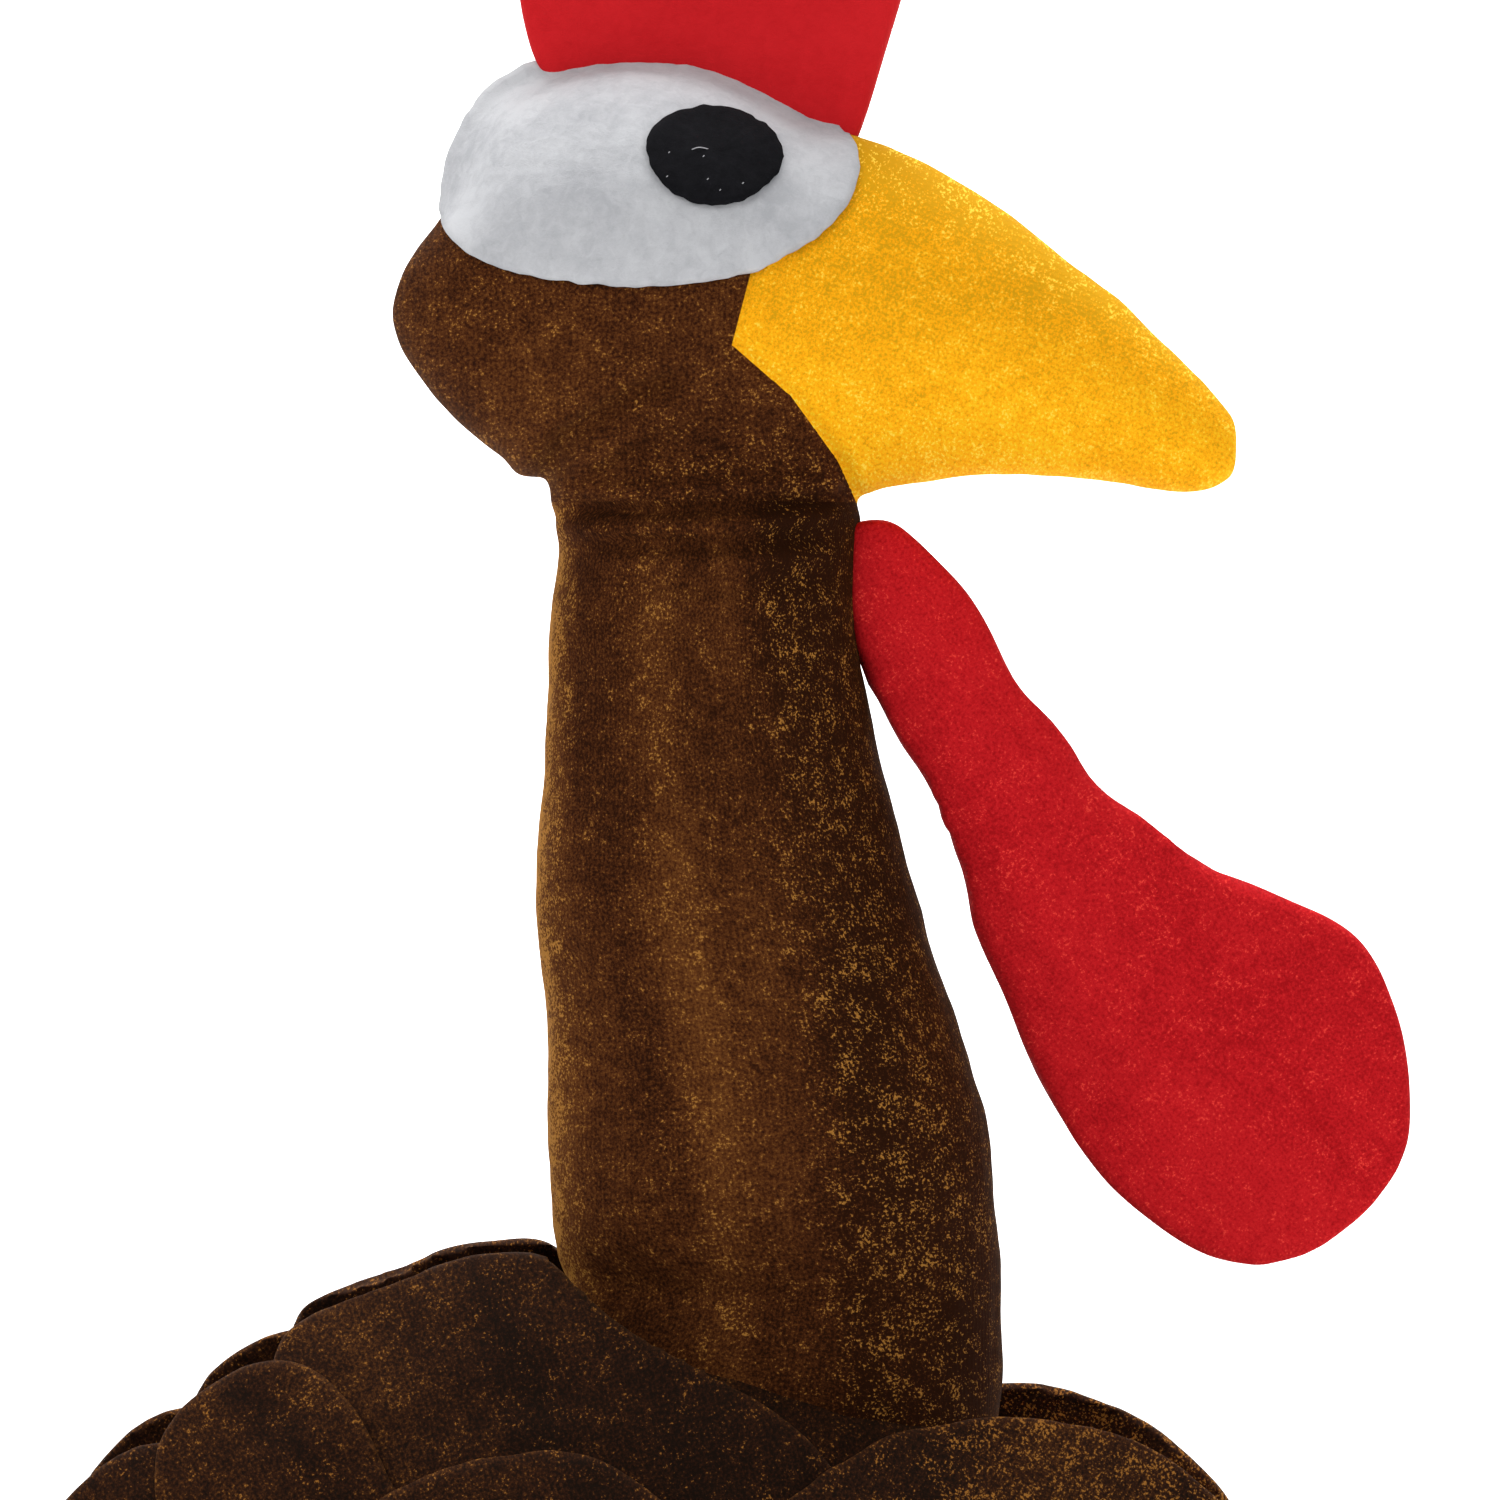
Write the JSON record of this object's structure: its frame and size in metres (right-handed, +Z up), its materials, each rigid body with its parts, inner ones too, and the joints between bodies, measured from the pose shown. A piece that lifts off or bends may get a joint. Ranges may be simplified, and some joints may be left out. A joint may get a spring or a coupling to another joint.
{
  "type": "turkey decoy",
  "caption": "Soft free-standing turkey decoy: stuffed velour body, long neck, hooked beak, red comb and wattle, layered wings and tail, flat weighted base with a stake socket.",
  "frame": {"origin": "mouth of the stake socket, in the middle of the flat base", "axes": "+X forwards, where the beak points; +Y the bird's left; +Z up"},
  "size_m": [0.3278, 0.207, 0.394],
  "materials": {
    "brown_velour": "short pile",
    "dark_brown_velour": "short pile",
    "orange_velour": "short pile",
    "red_velour": "short pile",
    "red_felt": "needle felt",
    "white_felt": "needle felt",
    "black_felt": "needle felt",
    "clear_thread": "glossy nylon thread",
    "white_fill": "polyester fibre fill",
    "pellets": "cloth bag of plastic pellets",
    "board": "hardboard",
    "wire": "soft annealed",
    "socket": "moulded"
  },
  "bodies": {
    "body": {"body_cover_left": "brown_velour", "body_cover_right": "brown_velour", "base_panel": "dark_brown_velour", "base_board": "board", "stake_socket": "socket", "ballast_bag": "pellets", "body_stuffing": "white_fill"},
    "neck": {"neck_cover_left": "brown_velour", "neck_cover_right": "brown_velour", "neck_stuffing": "white_fill", "neck_wire": "wire"},
    "head": {"head_cover_left": "brown_velour", "head_cover_right": "brown_velour", "beak_cover_left": "orange_velour", "beak_cover_right": "orange_velour", "head_stuffing": "white_fill", "eye_patch_left": "white_felt", "eye_patch_right": "white_felt", "pupil_left": "black_felt", "pupil_right": "black_felt", "pupil_stitches": "clear_thread"},
    "comb": {"comb_cover_left": "red_felt", "comb_cover_right": "red_felt", "comb_stuffing": "white_fill"},
    "wattle": {"wattle_cover_left": "red_velour", "wattle_cover_right": "red_velour", "wattle_stuffing": "white_fill"},
    "tail": {"tail_feather_1": "brown_velour", "tail_feather_2": "brown_velour", "tail_feather_3": "brown_velour", "tail_feather_4": "brown_velour", "tail_feather_5": "brown_velour", "tail_feather_6": "brown_velour", "tail_feather_7": "brown_velour"},
    "left_wing": {"left_wing_panel": "brown_velour", "left_wing_shoulder_feather": "brown_velour", "left_wing_upper_feather": "brown_velour", "left_wing_middle_feather": "brown_velour", "left_wing_rear_feather": "brown_velour", "left_wing_lower_feather": "brown_velour", "left_wing_front_covert": "brown_velour", "left_wing_top_covert": "brown_velour", "left_wing_rear_covert": "brown_velour"},
    "left_foot": {"left_foot_top": "orange_velour", "left_foot_sole": "orange_velour", "left_foot_stuffing": "white_fill"},
    "right_wing": {"right_wing_panel": "brown_velour", "right_wing_shoulder_feather": "brown_velour", "right_wing_upper_feather": "brown_velour", "right_wing_middle_feather": "brown_velour", "right_wing_rear_feather": "brown_velour", "right_wing_lower_feather": "brown_velour", "right_wing_front_covert": "brown_velour", "right_wing_top_covert": "brown_velour", "right_wing_rear_covert": "brown_velour"},
    "right_foot": {"right_foot_top": "orange_velour", "right_foot_sole": "orange_velour", "right_foot_stuffing": "white_fill"}
  },
  "joints": [
    {"name": "neck_lean", "type": "hinge", "parent": "body", "child": "neck", "pos_m": [0.0228, 0, 0.132], "axis": [0, 1, 0], "range_deg": [-10, 15]},
    {"name": "head_nod", "type": "hinge", "parent": "neck", "child": "head", "pos_m": [0.011, 0, 0.2795], "axis": [0, 1, 0], "range_deg": [-18, 8]},
    {"name": "comb_flop", "type": "hinge", "parent": "head", "child": "comb", "pos_m": [0, 0, 0.3525], "axis": [0.9903, 0, -0.139], "range_deg": [-20, 20], "stiffness_Nm_per_rad": 0.004},
    {"name": "wattle_swing", "type": "hinge", "parent": "neck", "child": "wattle", "pos_m": [0.0385, 0, 0.262], "axis": [0, 0, 1], "range_deg": [-30, 30], "stiffness_Nm_per_rad": 0.004},
    {"name": "right_wing_spread", "type": "hinge", "parent": "body", "child": "right_wing", "pos_m": [0.064, -0.069, 0.062], "axis": [0, 0, 1], "range_deg": [0, 30], "stiffness_Nm_per_rad": 0.02},
    {"name": "left_wing_spread", "type": "hinge", "parent": "body", "child": "left_wing", "pos_m": [0.064, 0.069, 0.062], "axis": [0, 0, -1], "range_deg": [0, 30], "stiffness_Nm_per_rad": 0.02},
    {"name": "tail_lift", "type": "hinge", "parent": "body", "child": "tail", "pos_m": [-0.116, 0, 0.06], "axis": [0, 1, 0], "range_deg": [0, 50]},
    {"name": "right_foot_lift", "type": "hinge", "parent": "body", "child": "right_foot", "pos_m": [0.078, -0.034, 0.009], "axis": [0, -1, 0], "range_deg": [0, 35]},
    {"name": "left_foot_lift", "type": "hinge", "parent": "body", "child": "left_foot", "pos_m": [0.078, 0.034, 0.009], "axis": [0, -1, 0], "range_deg": [0, 35]}
  ]
}
